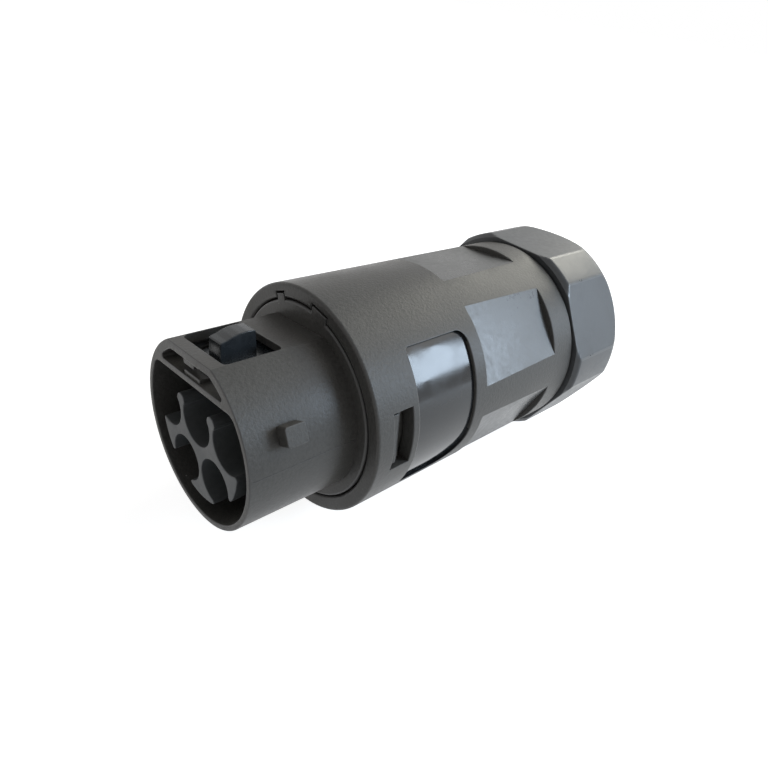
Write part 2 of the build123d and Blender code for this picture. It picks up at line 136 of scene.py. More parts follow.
# %% [markdown]
# A turned solid is the outline, set at many angles about X and joined by faces. The angles may
# be given, and a limit may hold a radius back at some of them, which turns a round blank into
# a hexagon. Points that fall together, as on the axis, are merged, so the mesh is closed.

# %% Closed meshes
SAME_POINT = 1e-4


@contextmanager
def editing(mesh):
    """A mesh as a BMesh, which is written back at the end of the block."""
    shape = bmesh.new()
    shape.from_mesh(mesh)
    yield shape
    shape.to_mesh(mesh)
    shape.free()


def solid(name, points, faces):
    """Closed mesh object from points and faces, with doubles merged and faces outwards."""
    mesh = bpy.data.meshes.new(name)
    mesh.from_pydata([tuple(p) for p in points], [], faces)
    with editing(mesh) as shape:
        bmesh.ops.remove_doubles(shape, verts=shape.verts, dist=SAME_POINT)
        bmesh.ops.recalc_face_normals(shape, faces=shape.faces)
    return added(name, mesh)


# %% Turned solids
def turned(name, corners, steps=240, arc=360.0, angles=None, limit=None):
    """Solid of revolution about X from (x, radius) or (x, radius, rounding) corners; arc in degrees."""
    line = rounded(corners)
    rings = steps if arc == 360.0 else steps + 1
    if angles:
        rings = steps = len(angles)
    else:
        angles = [math.radians(arc) * k / steps for k in range(rings)]
    limit = limit or (lambda x, r, a: r)
    rows = [(x, limit(x, r, a), a) for a in angles for x, r in line]
    points = [(x, r * math.cos(a), r * math.sin(a)) for x, r, a in rows]
    n = len(line)
    faces = []
    for k in range(steps):
        near, far = k * n, (k + 1) % rings * n
        faces += [(near + i, near + (i + 1) % n, far + (i + 1) % n, far + i) for i in range(n)
                  if line[i].y > 0 or line[(i + 1) % n].y > 0]
    if rings > steps:
        faces += [tuple(range(n)), tuple(range(steps * n, steps * n + n))]
    return solid(name, points, faces)


# %% Pushed-out solids
def pushed(name, outline, start, end, axis="X"):
    """Solid from an outline, pushed out along an axis from start to end."""
    place = {"X": lambda u, v, w: (w, u, v),
             "Y": lambda u, v, w: (u, w, v),
             "Z": lambda u, v, w: (u, v, w)}[axis]
    n = len(outline)
    points = [place(u, v, w) for w in (start, end) for u, v in outline]
    sides = [(i, (i + 1) % n, n + (i + 1) % n, n + i) for i in range(n)]
    return solid(name, points, sides + [tuple(range(n)), tuple(range(n, 2 * n))])


def block(x0, x1, y0, y1, z0, z1, turn=0.0):
    """Box between two corners, turned about X by some degrees."""
    box = pushed("block", [(y0, z0), (y1, z0), (y1, z1), (y0, z1)], x0, x1)
    box.data.transform(Matrix.Rotation(math.radians(turn), 4, "X"))
    return box


# %% [markdown]
# ## Cutting and joining
# A slot or a window is cut with a Boolean modifier, as a milling cutter would do it, and a lug
# is joined on in the same way. The modifiers are baked, so that what is exported is what is
# seen. Each cutter reaches past the surface that it cuts, as two in one plane leave slivers.

# %% Cut and join
def baked(obj):
    """Turns the object's modifiers into plain mesh."""
    bpy.context.view_layer.update()
    seen = obj.evaluated_get(bpy.context.evaluated_depsgraph_get())
    mesh = bpy.data.meshes.new_from_object(seen)
    obj.modifiers.clear()
    obj.data = mesh
    return obj


def worked(obj, operation, tools):
    """Applies Boolean steps with the tool solids, which are used up."""
    for tool in tools:
        step = obj.modifiers.new("step", "BOOLEAN")
        step.operation = operation
        step.solver = "EXACT"
        step.object = tool
    baked(obj)
    for tool in tools:
        bpy.data.objects.remove(tool)
    return obj


def cut(obj, *tools):
    return worked(obj, "DIFFERENCE", tools)


def joined(obj, *tools):
    return worked(obj, "UNION", tools)


# %% [markdown]
# ## Shading
# Smooth shading would blend the crisp inner corners of a moulding too. So edges that turn
# inwards by more than 22 degrees, or outwards by more than 50, are marked sharp, and Weighted
# Normal keeps large faces flat beside narrow rounded ones. A cut leaves wedges in a turned
# surface that shade unevenly, so its strips get the round surface's own normals.

# %% Smooth and sharp
SHARP_OUTWARD, SHARP_INWARD = 50, 22


def strips_rounded(mesh, widest=2.0):
    """Gives narrow strips, up to some degrees to each side, the normals of their round surface."""
    normals = [corner.vector.copy() for corner in mesh.corner_normals]
    for face in mesh.polygons:
        flat = Vector((0, face.normal.y, face.normal.z))
        if flat.length < 0.05:
            continue
        side = math.copysign(1, flat.dot(face.center))
        ways = {}
        for corner in face.loop_indices:
            spot = mesh.vertices[mesh.loops[corner].vertex_index].co
            ways[corner] = Vector((0, *spot.yz)).normalized() * side
        if all(way.length > 0.5 and math.degrees(way.angle(flat)) < widest for way in ways.values()):
            for corner, way in ways.items():
                normals[corner] = Vector((face.normal.x, 0, 0)) + way * flat.length
    mesh.normals_split_custom_set(normals)


def shaded(obj, strips=True):
    """Shades a mesh smooth, with crisp inner corners and flat large faces."""
    with editing(obj.data) as shape:
        for face in shape.faces:
            face.smooth = True
        for edge in shape.edges:
            limit = SHARP_OUTWARD if edge.is_convex else SHARP_INWARD
            edge.smooth = math.degrees(edge.calc_face_angle(0.0)) < limit
    obj.modifiers.new("normals", "WEIGHTED_NORMAL").keep_sharp = True
    baked(obj)
    if strips:
        strips_rounded(obj.data)
    return obj


# %% [markdown]
# ## Softening
# The Bevel modifier rolls each outer edge that turns by more than a few degrees. An edge weighs
# less where the faces beside it are narrow, so that no two roundings meet. A face with very many
# corners is cut into triangles first, and if the bevel still folds it, it is filled again.

# %% Room beside an edge
def across(edge, face):
    """Distance from the middle of an edge, over its face, to whatever bounds the face there."""
    ends = [vert.co for vert in edge.verts]
    middle, along = (ends[0] + ends[1]) / 2, (ends[1] - ends[0]).normalized()
    nearest = math.inf
    for other in face.edges:
        if other is edge:
            continue
        start, end = (vert.co for vert in other.verts)
        span = end - start
        step = min(max((middle - start).dot(span) / max(span.length_squared, 1e-12), 0.0), 1.0)
        way = start + span * step - middle
        if abs(way.dot(along)) < 0.8 * way.length:
            nearest = min(nearest, way.length)
    return nearest


# %% Large faces filled again
OUT_OF_PLANE = 2e-4


def refilled(obj, planes):
    """Fills large flat faces that the bevel folded over again, holes left open."""
    with editing(obj.data) as shape:
        group = shape.faces.layers.int["large"]
        for mark, (spot, normal) in planes.items():
            inside = {face for face in shape.faces if face[group] == mark
                      and all(abs((vert.co - spot).dot(normal)) < OUT_OF_PLANE for vert in face.verts)}
            if all(face.normal.dot(normal) > 0 for face in inside):
                continue
            outline = [edge for edge in {edge for face in inside for edge in face.edges}
                       if sum(face in inside for face in edge.link_faces) == 1]
            bmesh.ops.delete(shape, geom=list(inside), context="FACES_ONLY")
            kept = [edge for edge in outline if edge.is_valid]
            bmesh.ops.triangle_fill(shape, use_beauty=True, edges=kept, normal=normal)
        loose = [edge for edge in shape.edges if not edge.link_faces]
        bmesh.ops.delete(shape, geom=loose, context="EDGES")
        bmesh.ops.recalc_face_normals(shape, faces=shape.faces)
        open_edges = sum(edge.is_boundary for edge in shape.edges)
        print(f"{obj.name}: {len(planes)} large faces, {open_edges} open edges")
    return obj


# %% Soft edges
WELD, LEVEL = 0.002, math.radians(0.3)
LARGE = 60
ROOM_SHARE = 0.45


def softened(obj, width, edge_slot=0, angle=13.0):
    """Rounds outer edges that turn by more than the angle; the roundings may take another material."""
    with editing(obj.data) as shape:
        bmesh.ops.remove_doubles(shape, verts=shape.verts, dist=WELD)
        bmesh.ops.dissolve_limit(shape, angle_limit=LEVEL, verts=shape.verts, edges=shape.edges)
        weight = shape.edges.layers.float.new("bevel_weight_edge")
        for edge in shape.edges:
            if edge.calc_face_angle(0.0) > math.radians(angle):
                room = min(across(edge, face) for face in edge.link_faces)
                edge[weight] = min(1.0, ROOM_SHARE * room / width) if edge.is_convex else 0.0
        group = shape.faces.layers.int.new("large")
        planes = {}
        for face in [face for face in shape.faces if len(face.verts) > LARGE]:
            planes[len(planes) + 1] = (face.calc_center_median(), face.normal.copy())
            face[group] = len(planes)
            bmesh.ops.triangulate(shape, faces=[face], ngon_method="EAR_CLIP")
    bevel = obj.modifiers.new("edges", "BEVEL")
    bevel.limit_method = "WEIGHT"
    bevel.width = width
    bevel.segments = 2
    bevel.use_clamp_overlap = False
    bevel.loop_slide = False
    bevel.miter_outer = "MITER_ARC"
    bevel.material = edge_slot
    return shaded(refilled(baked(obj), planes))


# %% [markdown]
# ## Black nylon, as it leaves the mould
# The shells are glass-filled nylon from a spark-eroded mould: dull black with a fine pitted
# grain and a silvery sheen at a slant. A noise gives the grain to the bump, and a coarser one
# lets shade and roughness drift a little, as nylon does where it cooled faster. All of it reads
# Object coordinates, so no UV map is needed. First come helpers for the trees.

# %% Nodes and their inputs
def fed(tree, made, **sockets):
    """Gives a node's inputs, named with _ for a space, a value or another node's output."""
    for key, value in sockets.items():
        socket = made.inputs[int(key[1:])] if key[0] == "_" else made.inputs[key.replace("_", " ")]
        if isinstance(value, bpy.types.NodeSocket):
            tree.links.new(value, socket)
        else:
            socket.default_value = value
    return made


def node(tree, kind, settings=None, **sockets):
    """Adds a node with its settings and inputs."""
    made = tree.nodes.new(kind)
    for key, value in (settings or {}).items():
        setattr(made, key, value)
    return fed(tree, made, **sockets)


def number(tree, operation, a, b=None):
    """One arithmetic step in a node tree."""
    sockets = {"_0": a} if b is None else {"_0": a, "_1": b}
    return node(tree, "ShaderNodeMath", {"operation": operation}, **sockets).outputs[0]


# %% Noise, ranges and colours
def grainy(tree, size, detail=3.0):
    """Noise output with grains of a size in metres, on Object coordinates."""
    place = node(tree, "ShaderNodeTexCoord").outputs["Object"]
    return node(tree, "ShaderNodeTexNoise", Vector=place, Scale=0.5 / size, Detail=detail,
                Roughness=0.6).outputs[0]


def between(tree, factor, low, high, start=0.3, end=0.7):
    """Number that goes from low to high as the factor goes from start to end."""
    return node(tree, "ShaderNodeMapRange", _0=factor, _1=start, _2=end, _3=low, _4=high).outputs[0]


def tone(tree, factor, first, second):
    """Colour between two others, of which the first may come from another node."""
    first = first if isinstance(first, bpy.types.NodeSocket) else (*first, 1.0)
    mixed = node(tree, "ShaderNodeMix", {"data_type": "RGBA"}, _0=factor, _6=first, _7=(*second, 1.0))
    return mixed.outputs[2]


# %% Materials and slots
def painted(obj, *finishes):
    """Gives a piece its material slots."""
    for finish in finishes:
        obj.data.materials.append(finish)


def new_material(name):
    """Empty material with a Principled shader; returns it with the tree and the shader."""
    material = bpy.data.materials.new(name)
    material.use_nodes = True
    tree = material.node_tree
    return material, tree, tree.nodes["Principled BSDF"]


# %% [markdown]
# Each plastic is one call with its tint, its roughness, and the size and depth of its grain.
# Rare pale specks show where glass fibres end at the surface: the centres of Voronoi cells, of
# which one in five shows its own.

# %% Moulded plastic
CLOUD, SPECK_CELL = 0.006, 0.005
FIBRE = (0.45, 0.45, 0.43)


def specked(tree, colour, strength):
    """Colour with rare pale specks, about a quarter of a millimetre wide."""
    place = node(tree, "ShaderNodeTexCoord").outputs["Object"]
    dots = node(tree, "ShaderNodeTexVoronoi", Vector=place, Scale=1 / SPECK_CELL)
    near = between(tree, dots.outputs["Distance"], strength, 0.0, 0.018, 0.034)
    chosen = node(tree, "ShaderNodeSeparateColor", _0=dots.outputs["Color"]).outputs[0]
    rare = between(tree, chosen, 0.0, 1.0, 0.80, 0.82)
    return tone(tree, number(tree, "MULTIPLY", near, rare), colour, FIBRE)


def moulded(name, tint, rough, grain, depth, drift=0.12, specks=0.0, sheen=0.3):
    """Plastic with an eroded grain; grain and depth in metres, sheen is its mirror strength."""
    material, tree, shader = new_material(name)
    pits = grainy(tree, grain)
    clouds = grainy(tree, CLOUD, 2.0)
    fine = between(tree, pits, 0.0, 0.5, 0.35, 0.65)
    blend = number(tree, "ADD", between(tree, clouds, 0.0, 0.5), fine)
    colour = tone(tree, blend, [c * (1 - drift) for c in tint], [c * (1 + drift) for c in tint])
    if specks:
        colour = specked(tree, colour, specks)
    both = number(tree, "ADD", pits, clouds)
    roughness = between(tree, both, rough - 0.08, rough + 0.08, 0.75, 1.25)
    bump = node(tree, "ShaderNodeBump", Height=pits, Strength=0.8, Distance=depth)
    fed(tree, shader, Base_Color=colour, Roughness=roughness, Normal=bump.outputs["Normal"],
        IOR=1.53, Specular_IOR_Level=sheen)
    return material


nylon = moulded("eroded_nylon", (0.075, 0.072, 0.067), 0.44, 0.00023, 0.00006,
                drift=0.22, specks=0.5, sheen=0.25)
# Rounded edges: a lighter tint, partly real wear and partly a painted highlight of edges that catch the
# light.
worn_edge_and_highlight = moulded("handled_edge", (0.085, 0.083, 0.08), 0.38, 0.0005, 0.000006)
flat_nylon = moulded("flat_nylon", (0.08, 0.08, 0.078), 0.34, 0.0004, 0.000005, drift=0.13, sheen=0.42)
panel_gloss = moulded("polished_recess", (0.018, 0.02, 0.022), 0.13, 0.0015, 0.000004,
                      drift=0.2, sheen=0.42)
print("nylon:", nylon.name, worn_edge_and_highlight.name, flat_nylon.name, panel_gloss.name)

# %% [markdown]
# ## The sleeve
# The sleeve is the part that the hand holds. It is turned in outline, narrows a little towards
# the nut, and has six flats for a spanner. Inside it has a wide room for the cable's cores, a
# shoulder that stops the insert, and a seat for the claw in the hollow spigot behind.

# %% Sleeve body
SLEEVE_R, SLEEVE_BACK, SLEEVE_BORE, SLEEVE_END = 17.5, 17.1, 15.2, 45.84
FLAT_START, FLAT_END, FLAT_DIST = 22.4, 40.5, 16.1
MOUTH, SHOULDER, ROOM_R, ROOM_END = 0.35, 22.2, 13.6, 40.0
WAY_START, WAY_R, CLAW_SEAT = 41.25, 10.2, 44.0
SPIGOT_R, SPIGOT_BORE, SPIGOT_END, THREAD_ROOT = 15.0, 12.95, 55.0, 14.25
NECK_R, NECK_END, ROOT_START = 14.5, 46.9, 47.7

sleeve = turned("sleeve_body", [
    (0, SLEEVE_R, 0.45), (FLAT_END, SLEEVE_BACK), (SLEEVE_END, SLEEVE_BACK, 0.25), (SLEEVE_END, NECK_R),
    (NECK_END, NECK_R), (ROOT_START, THREAD_ROOT), (SPIGOT_END, THREAD_ROOT, 0.4),
    (SPIGOT_END, SPIGOT_BORE), (CLAW_SEAT, SPIGOT_BORE), (CLAW_SEAT, WAY_R), (WAY_START, WAY_R),
    (ROOM_END, ROOM_R), (SHOULDER, ROOM_R), (SHOULDER, SLEEVE_BORE), (MOUTH, SLEEVE_BORE),
    (0, SLEEVE_BORE + MOUTH)], steps=248)
print("turned sleeve:", len(sleeve.data.polygons), "faces")

# %% [markdown]
# Into the turned body go the six flats, two windows where the insert snaps in, notches for the
# two unequal keys, and a shallow recess on one side. The recess has a round floor, so its
# cutter is a pushed outline with a turned core taken out.

# %% Cuts in the sleeve
WINDOW_START, WINDOW_END, WINDOW_HALF = 3.05, 6.6, 4.4
LABEL_START, LABEL_END, LABEL_LOW, LABEL_HIGH = 7.8, 19.85, -10.1, 11.35
KEYS = {73.5: 1.74, 106.5: 3.2}
KEY_CLEARANCE = 0.36

flats = [block(FLAT_START, FLAT_END, FLAT_DIST, 30, -8, 8, turn=30 + 60 * k) for k in range(6)]
notches = []
for turn, wide in KEYS.items():
    half = (wide + KEY_CLEARANCE) / 2
    notches.append(block(-1, 3, 13, 16.25, -half, half, turn))
windows = [block(WINDOW_START, WINDOW_END, side * 12, side * 19, -WINDOW_HALF, WINDOW_HALF)
           for side in (1, -1)]
label_line = rounded([(LABEL_START, LABEL_LOW, 0.5), (LABEL_START, LABEL_HIGH, 0.5),
                      (LABEL_END, LABEL_HIGH, 1.75), (LABEL_END, LABEL_LOW, 6.0)])
label_floor = turned("label_floor", [
    (-5, 0), (-5, SLEEVE_R - 0.4), (30, SLEEVE_R - 0.85), (30, 0)], steps=132)
label_cutter = cut(pushed("label_cutter", label_line, -25, 0, "Y"), label_floor)
cut(sleeve, *flats, *notches, *windows, label_cutter)
print("sleeve:", len(sleeve.data.polygons), "faces before its edges are softened")

# %% [markdown]
# The recess floor was polished in the mould, so it mirrors the room. The six flats are smoother
# than the grained skin too and catch more light. Both are picked out by place and get their own
# finish. The rounded edges get a fourth one: the grain is worn off there, and they shine a
# little. Their lighter tint is partly worn edge and partly a painted highlight of edges that
# catch the light. The wide angle leaves the flats' shallow edges crisp, as on the real sleeve.

# %% Sleeve finishes
def in_label(centre):
    """True for a point on the floor of the recess."""
    radius = math.hypot(centre.y, centre.z)
    return (LABEL_START < centre.x < LABEL_END and centre.y < 0
            and LABEL_LOW - 0.1 < centre.z < LABEL_HIGH + 0.05
            and SLEEVE_R - 0.9 < radius < SLEEVE_R - 0.35)


def from_flat(angle, turn=0.0):
    """Degrees from an angle about X, in radians, to the middle of the nearest of six flats."""
    return (math.degrees(angle) - turn) % 60 - 30


def on_flat(centre):
    """True for a point on one of the six flats."""
    off = math.radians(from_flat(math.atan2(centre.z, centre.y)))
    away = math.hypot(centre.y, centre.z) * math.cos(off)
    return FLAT_START < centre.x < FLAT_END and abs(away - FLAT_DIST) < 0.01


EDGE_SLOT, LABEL_SLOT, FLAT_SLOT = 1, 2, 3
painted(sleeve, nylon, worn_edge_and_highlight, panel_gloss, flat_nylon)
softened(sleeve, 0.16, edge_slot=EDGE_SLOT, angle=22.0)
for face in sleeve.data.polygons:
    if in_label(face.center):
        face.material_index = LABEL_SLOT
    elif on_flat(face.center):
        face.material_index = FLAT_SLOT
slots = [face.material_index for face in sleeve.data.polygons]
print("faces on the recess:", slots.count(LABEL_SLOT), "and on the flats:", slots.count(FLAT_SLOT))

# %% [markdown]
# ## The thread
# The nut runs on a right-hand thread of 1.5 mm pitch. A thread is one ridge that follows a
# helix, a good job for Geometry Nodes: a grid is bent, its long side along the helix and its
# short side round the ridge's section. Near both ends the ridge sinks back into its root, as a
# moulded thread runs out. The same tree makes the thread in the nut, with its crest towards
# the axis and half a pitch away, so that the two mesh.

# %% Start and end of a tree
def empty_tree(title, inputs):
    """Geometry Nodes tree with named inputs of some kinds, and the outputs that give them."""
    tree = bpy.data.node_groups.new(title, "GeometryNodeTree")
    tree.interface.new_socket("Geometry", in_out="OUTPUT", socket_type="NodeSocketGeometry")
    for name, kind in {"Geometry": "Geometry", **inputs}.items():
        tree.interface.new_socket(name, in_out="INPUT", socket_type=f"NodeSocket{kind}")
    return tree, tree.nodes.new("NodeGroupInput").outputs


def ended(tree, geometry, finish):
    """Makes copies real and gives them their material, as the end of a tree."""
    plain = node(tree, "GeometryNodeRealizeInstances", Geometry=geometry)
    coated = node(tree, "GeometryNodeSetMaterial", Geometry=plain.outputs[0], Material=finish)
    node(tree, "NodeGroupOutput", _0=coated.outputs[0])
    return tree


# %% A tree that makes a thread
STEPS_ALONG, RUN_OUT = 841, 2.5


def thread_tree():
    """Tree that bends a grid into a closed ridge along a helix about X."""
    sizes = ("Start", "Turns", "Pitch", "Root radius", "Crest radius", "Root width", "Crest width")
    tree, given = empty_tree("thread", {**{size: "Float" for size in sizes}, "Finish": "Material"})

    def calc(operation, *values):
        return number(tree, operation, *values)

    def mix(factor, low, high):
        return node(tree, "ShaderNodeMix", _0=factor, _2=low, _3=high).outputs[0]

    grid = node(tree, "GeometryNodeMeshGrid", Size_X=4.0, Size_Y=1.0, Vertices_X=5,
                Vertices_Y=STEPS_ALONG)
    position = tree.nodes.new("GeometryNodeInputPosition").outputs[0]
    place = node(tree, "ShaderNodeSeparateXYZ", _0=position)
    column = calc("ROUND", calc("ADD", place.outputs[0], 2.0))
    corner = calc("MODULO", column, 4.0)
    along = calc("ADD", place.outputs[1], 0.5)
    offset = calc("SUBTRACT", corner, 1.5)
    side = calc("SIGN", offset)
    at_root = calc("GREATER_THAN", calc("ABSOLUTE", offset), 1.0)
    end = calc("MINIMUM", along, calc("SUBTRACT", 1.0, along))
    from_end = calc("MULTIPLY", end, given["Turns"])
    full = calc("MINIMUM", calc("MULTIPLY", from_end, RUN_OUT), 1.0)
    width = mix(at_root, given["Crest width"], given["Root width"])
    height = calc("MULTIPLY", calc("SUBTRACT", 1.0, at_root), full)
    radius = mix(height, given["Root radius"], given["Crest radius"])
    half_width = calc("MULTIPLY", side, calc("MULTIPLY", width, 0.5))
    shift = calc("MULTIPLY", half_width, full)
    turns = calc("MULTIPLY", along, given["Turns"])
    x = calc("ADD", calc("MULTIPLY", turns, given["Pitch"]), given["Start"])
    angle = calc("MULTIPLY", turns, 2 * math.pi)
    y = calc("MULTIPLY", radius, calc("COSINE", angle))
    z = calc("MULTIPLY", radius, calc("SINE", angle))
    spot = node(tree, "ShaderNodeCombineXYZ", _0=calc("ADD", x, shift), _1=y, _2=z)
    bent = node(tree, "GeometryNodeSetPosition", Geometry=grid.outputs["Mesh"], Position=spot.outputs[0])
    closed = node(tree, "GeometryNodeMergeByDistance", Geometry=bent.outputs[0], Distance=0.001)
    return ended(tree, closed.outputs[0], given["Finish"])


thread = thread_tree()
print("thread tree:", len(thread.nodes), "nodes")

# %% [markdown]
# The tree runs as a modifier, whose inputs are set by the sockets' identifiers. The result is
# baked and turned outwards, and the ridge is added to its piece, its root just under the surface.

# %% Threads from the tree
def facing_out(obj):
    """Turns every face of a closed mesh outwards and shades it smooth."""
    with editing(obj.data) as shape:
        bmesh.ops.recalc_face_normals(shape, faces=shape.faces)
        if shape.calc_volume(signed=True) < 0:
            bmesh.ops.reverse_faces(shape, faces=shape.faces)
        for face in shape.faces:
            face.smooth = True
    return obj


def grown(name, tree, host=None, **inputs):
    """Runs a tree on a host mesh with named inputs and returns the plain mesh object it makes."""
    obj = host or added(name, bpy.data.meshes.new(name))
    grower = obj.modifiers.new("grow", "NODES")
    grower.node_group = tree
    for socket in tree.interface.items_tree:
        title = socket.name.replace(" ", "_")
        if socket.in_out == "INPUT" and title in inputs:
            grower[socket.identifier] = inputs[title]
    return facing_out(baked(obj))


def merged(obj, *others):
    """Adds other closed meshes to a piece; they stand in its wall, as a ridge in its root."""
    finishes = list(obj.data.materials)
    with editing(obj.data) as whole:
        for other in others:
            finishes += [finish for finish in other.data.materials if finish not in finishes]
            slots = [finishes.index(finish) for finish in other.data.materials]
            before = len(whole.faces)
            whole.from_mesh(other.data)
            whole.faces.ensure_lookup_table()
            for face in whole.faces[before:]:
                face.material_index = slots[face.material_index]
            bpy.data.objects.remove(other)
    painted(obj, *finishes[len(obj.data.materials):])
    return obj


PITCH, FIRST_RIDGE, SUNK = 1.5, 47.9, 0.1
spigot_thread = grown("spigot_thread", thread, Start=FIRST_RIDGE, Turns=4.2, Pitch=PITCH,
                      Root_radius=THREAD_ROOT - SUNK, Crest_radius=SPIGOT_R,
                      Root_width=0.95, Crest_width=0.22, Finish=nylon)
print("thread:", len(spigot_thread.data.polygons), "faces")
lay(merged(sleeve, spigot_thread), "housing", "shell_plastic", "sleeve")

# %% [markdown]
# ## The gland nut
# A hexagon whose corners are turned down is the common part of a hexagonal bar and a turned
# blank. It could be a Boolean, but a flat meets the turned strip at a shallow slant, and a bevel
# has no room there. So the blank is turned, and each of its radii is limited by the bar's. Where
# the two are nearly equal they are blended, and that is the soft edge. The angles stand closest
# where that edge crosses the flat.

# %% A turned hexagon
NUT_FLAT, NUT_START, NUT_END, NUT_CORNER, NUT_TURN = 17.35, 46.1, 61.6, 18.6, 6.6
SOFT, NUT_LIP = 0.14, 0.18


def in_bar(x, radius, angle):
    """A turned radius where the hexagonal bar limits it, with a soft edge between."""
    ahead = min(max(NUT_START + NUT_LIP - x, 0), NUT_LIP)
    drop = NUT_LIP - math.sqrt(NUT_LIP ** 2 - ahead ** 2)
    bar = (NUT_FLAT - drop) / math.cos(math.radians(from_flat(angle, NUT_TURN)))
    near = max(SOFT - abs(radius - bar), 0.0)
    return min(radius, bar) - near * near / (4 * SOFT)


near_flat = [*spaced(0, 18, 13), *spaced(18.75, 23.55, 13), *spaced(24.5, 29, 4)]
sector = [-d for d in reversed(near_flat[1:])] + near_flat + [30.0]
nut_angles = [math.radians(NUT_TURN + 30 + 60 * k + d) for k in range(6) for d in sector]
print("the nut is turned in", len(nut_angles), "steps")

# %% [markdown]
# The blank has a small lip in front, a long taper behind that starts softly, and a bore with a
# cone for the claw. The nut's mould was polished finer than the sleeve's, so it is smoother.
# The faces that lean a little from their flat are its soft edges, and those are worn smooth.

# %% Nut
NUT_BORE, CABLE_HOLE, CHAMFER = 15.06, 8.2, 0.5
CONE_START, CONE_R, CONE_END, CONE_END_R = 55.3, 13.22, 60.39, 8.9
TAPER_START, TAPER_STEP, TAPER_DROP = 58.4, 0.1, 0.0714

lip = []
for angle in spaced(0, math.pi / 2, 8):
    risen = NUT_LIP * (1 - math.cos(angle))
    lip.append((NUT_START + risen, NUT_CORNER - 0.75 + risen))
taper = [(TAPER_START + TAPER_STEP * k, NUT_CORNER - TAPER_DROP * k - 0.2 * math.exp(-k / 4))
         for k in range(28)]
nut = turned("gland_nut_body", [
    *lip, (46.6, 18.35), (46.85, 18.56), (47.2, NUT_CORNER),
    (57.2, NUT_CORNER), (57.8, 18.58), (58.1, 18.52), *taper,
    (61.2, 16.58), (NUT_END - 0.1, 16.14), (NUT_END, 16.0),
    (NUT_END, CABLE_HOLE + CHAMFER, 0.2), (NUT_END - CHAMFER, CABLE_HOLE, 0.2),
    (CONE_END + 0.2, CABLE_HOLE, 0.1), (CONE_END, CONE_END_R), (CONE_START, CONE_R),
    (CONE_START, NUT_BORE), (NUT_START + CHAMFER, NUT_BORE, 0.2),
    (NUT_START, NUT_BORE + CHAMFER, 0.2)], angles=nut_angles, limit=in_bar)
nut_nylon = moulded("satin_nylon", (0.07, 0.073, 0.076), 0.36, 0.0004, 0.000008, specks=0.5, sheen=0.33)
nut_edge = moulded("satin_edge", (0.085, 0.088, 0.09), 0.32, 0.0006, 0.000004, sheen=0.45)
painted(nut, nut_nylon, nut_edge)
shaded(nut, strips=False)
for face in nut.data.polygons:
    about = math.atan2(face.center.z, face.center.y)
    middle = about - math.radians(from_flat(about, NUT_TURN))
    lean = math.degrees(face.normal.angle(Vector((0, math.cos(middle), math.sin(middle)))))
    if 3 < lean < 19 and face.center.yz.length > 17:
        face.material_index = EDGE_SLOT
nut_thread = grown("nut_thread", thread, Start=FIRST_RIDGE - PITCH / 2, Turns=4.6, Pitch=PITCH,
                   Root_radius=NUT_BORE + SUNK, Crest_radius=14.36,
                   Root_width=0.95, Crest_width=0.22, Finish=nut_nylon)
lay(merged(nut, nut_thread), "nut", "shell_plastic", "gland_nut")

# %% [markdown]
# ## The nose
# The nose is a thin tube with a flat for the latch. From its front it has a round chamber for
# the contacts and, over the chamber's roof, a narrow slot that the latch blade lies in. Both
# outlines are circles cut by flats, so one helper draws them, with the corner radius that the
# mould needs.

# %% Outline of a circle cut flat
def cut_circle(radius, high, corner, low=None, step=1.5):
    """Circle cut flat at a height, and at a lower one if given, with rounded corners."""
    def corner_arc(level, side, first):
        z = level - side * corner
        y = math.sqrt((radius - corner) ** 2 - z * z)
        last = math.atan2(z, y)
        return last, [(y + corner * math.cos(a), z + corner * math.sin(a))
                      for a in spaced(first, last, 13)]

    top, right = corner_arc(high, 1, math.pi / 2)
    bottom, foot = (-math.pi / 2, []) if low is None else corner_arc(low, -1, -math.pi / 2)
    count = max(3, int(math.degrees(top - bottom) / step))
    right += [(radius * math.cos(a), radius * math.sin(a)) for a in spaced(top, bottom, count)[1:]]
    right += foot[::-1][1:]
    return right + [(-y, z) for y, z in reversed(right) if y > 1e-6]


NOSE_TIP, NOSE_R, FLAT_Z = -16.68, 13.28, 12.06
CHAMBER_R, CHAMBER_ROOF, CHAMBER_END = 12.45, 7.66, 0.5
SLOT_R, SLOT_LOW, SLOT_HIGH, SLOT_END = 11.95, 8.56, 10.92, -1.55
nose_line = cut_circle(NOSE_R, FLAT_Z, 0.2)
chamber_line = cut_circle(CHAMBER_R, CHAMBER_ROOF, 1.9)
slot_line = cut_circle(SLOT_R, SLOT_HIGH, 0.4, SLOT_LOW)
print("points round the nose:", len(nose_line), "and round the chamber:", len(chamber_line))

# %% [markdown]
# The outer shape is joined first: the tube, the flange with its two unequal keys, the barrel
# with a seal's groove, and the lug that turns the partner the right way. Then the hollows
# are cut: the chamber, the slot, the latch's window and the barrel's bore.

# %% Nose shell
FLANGE_R, FLANGE_END, KEY_R, KEY_END = 15.05, 2, 15.95, 2.6
BARREL_R, BARREL_BORE, BARREL_END = 14.95, 12.9, 22
GROOVE_START, GROOVE_END, GROOVE_R = 12.9, 14.9, 13.85
LUG_START, LUG_END, LUG_HALF, LUG_TOP, LUG_TURN = -12.05, -9, 1.35, 15.2, 160.2
HATCH_START, HATCH_END, HATCH_HALF = -14.7, -6.3, 5.4


def plate_line(start, end, half, radius):
    """Rectangle about the axis with round corners."""
    corners = [(start, -half), (end, -half), (end, half), (start, half)]
    return rounded([(*corner, radius) for corner in corners])


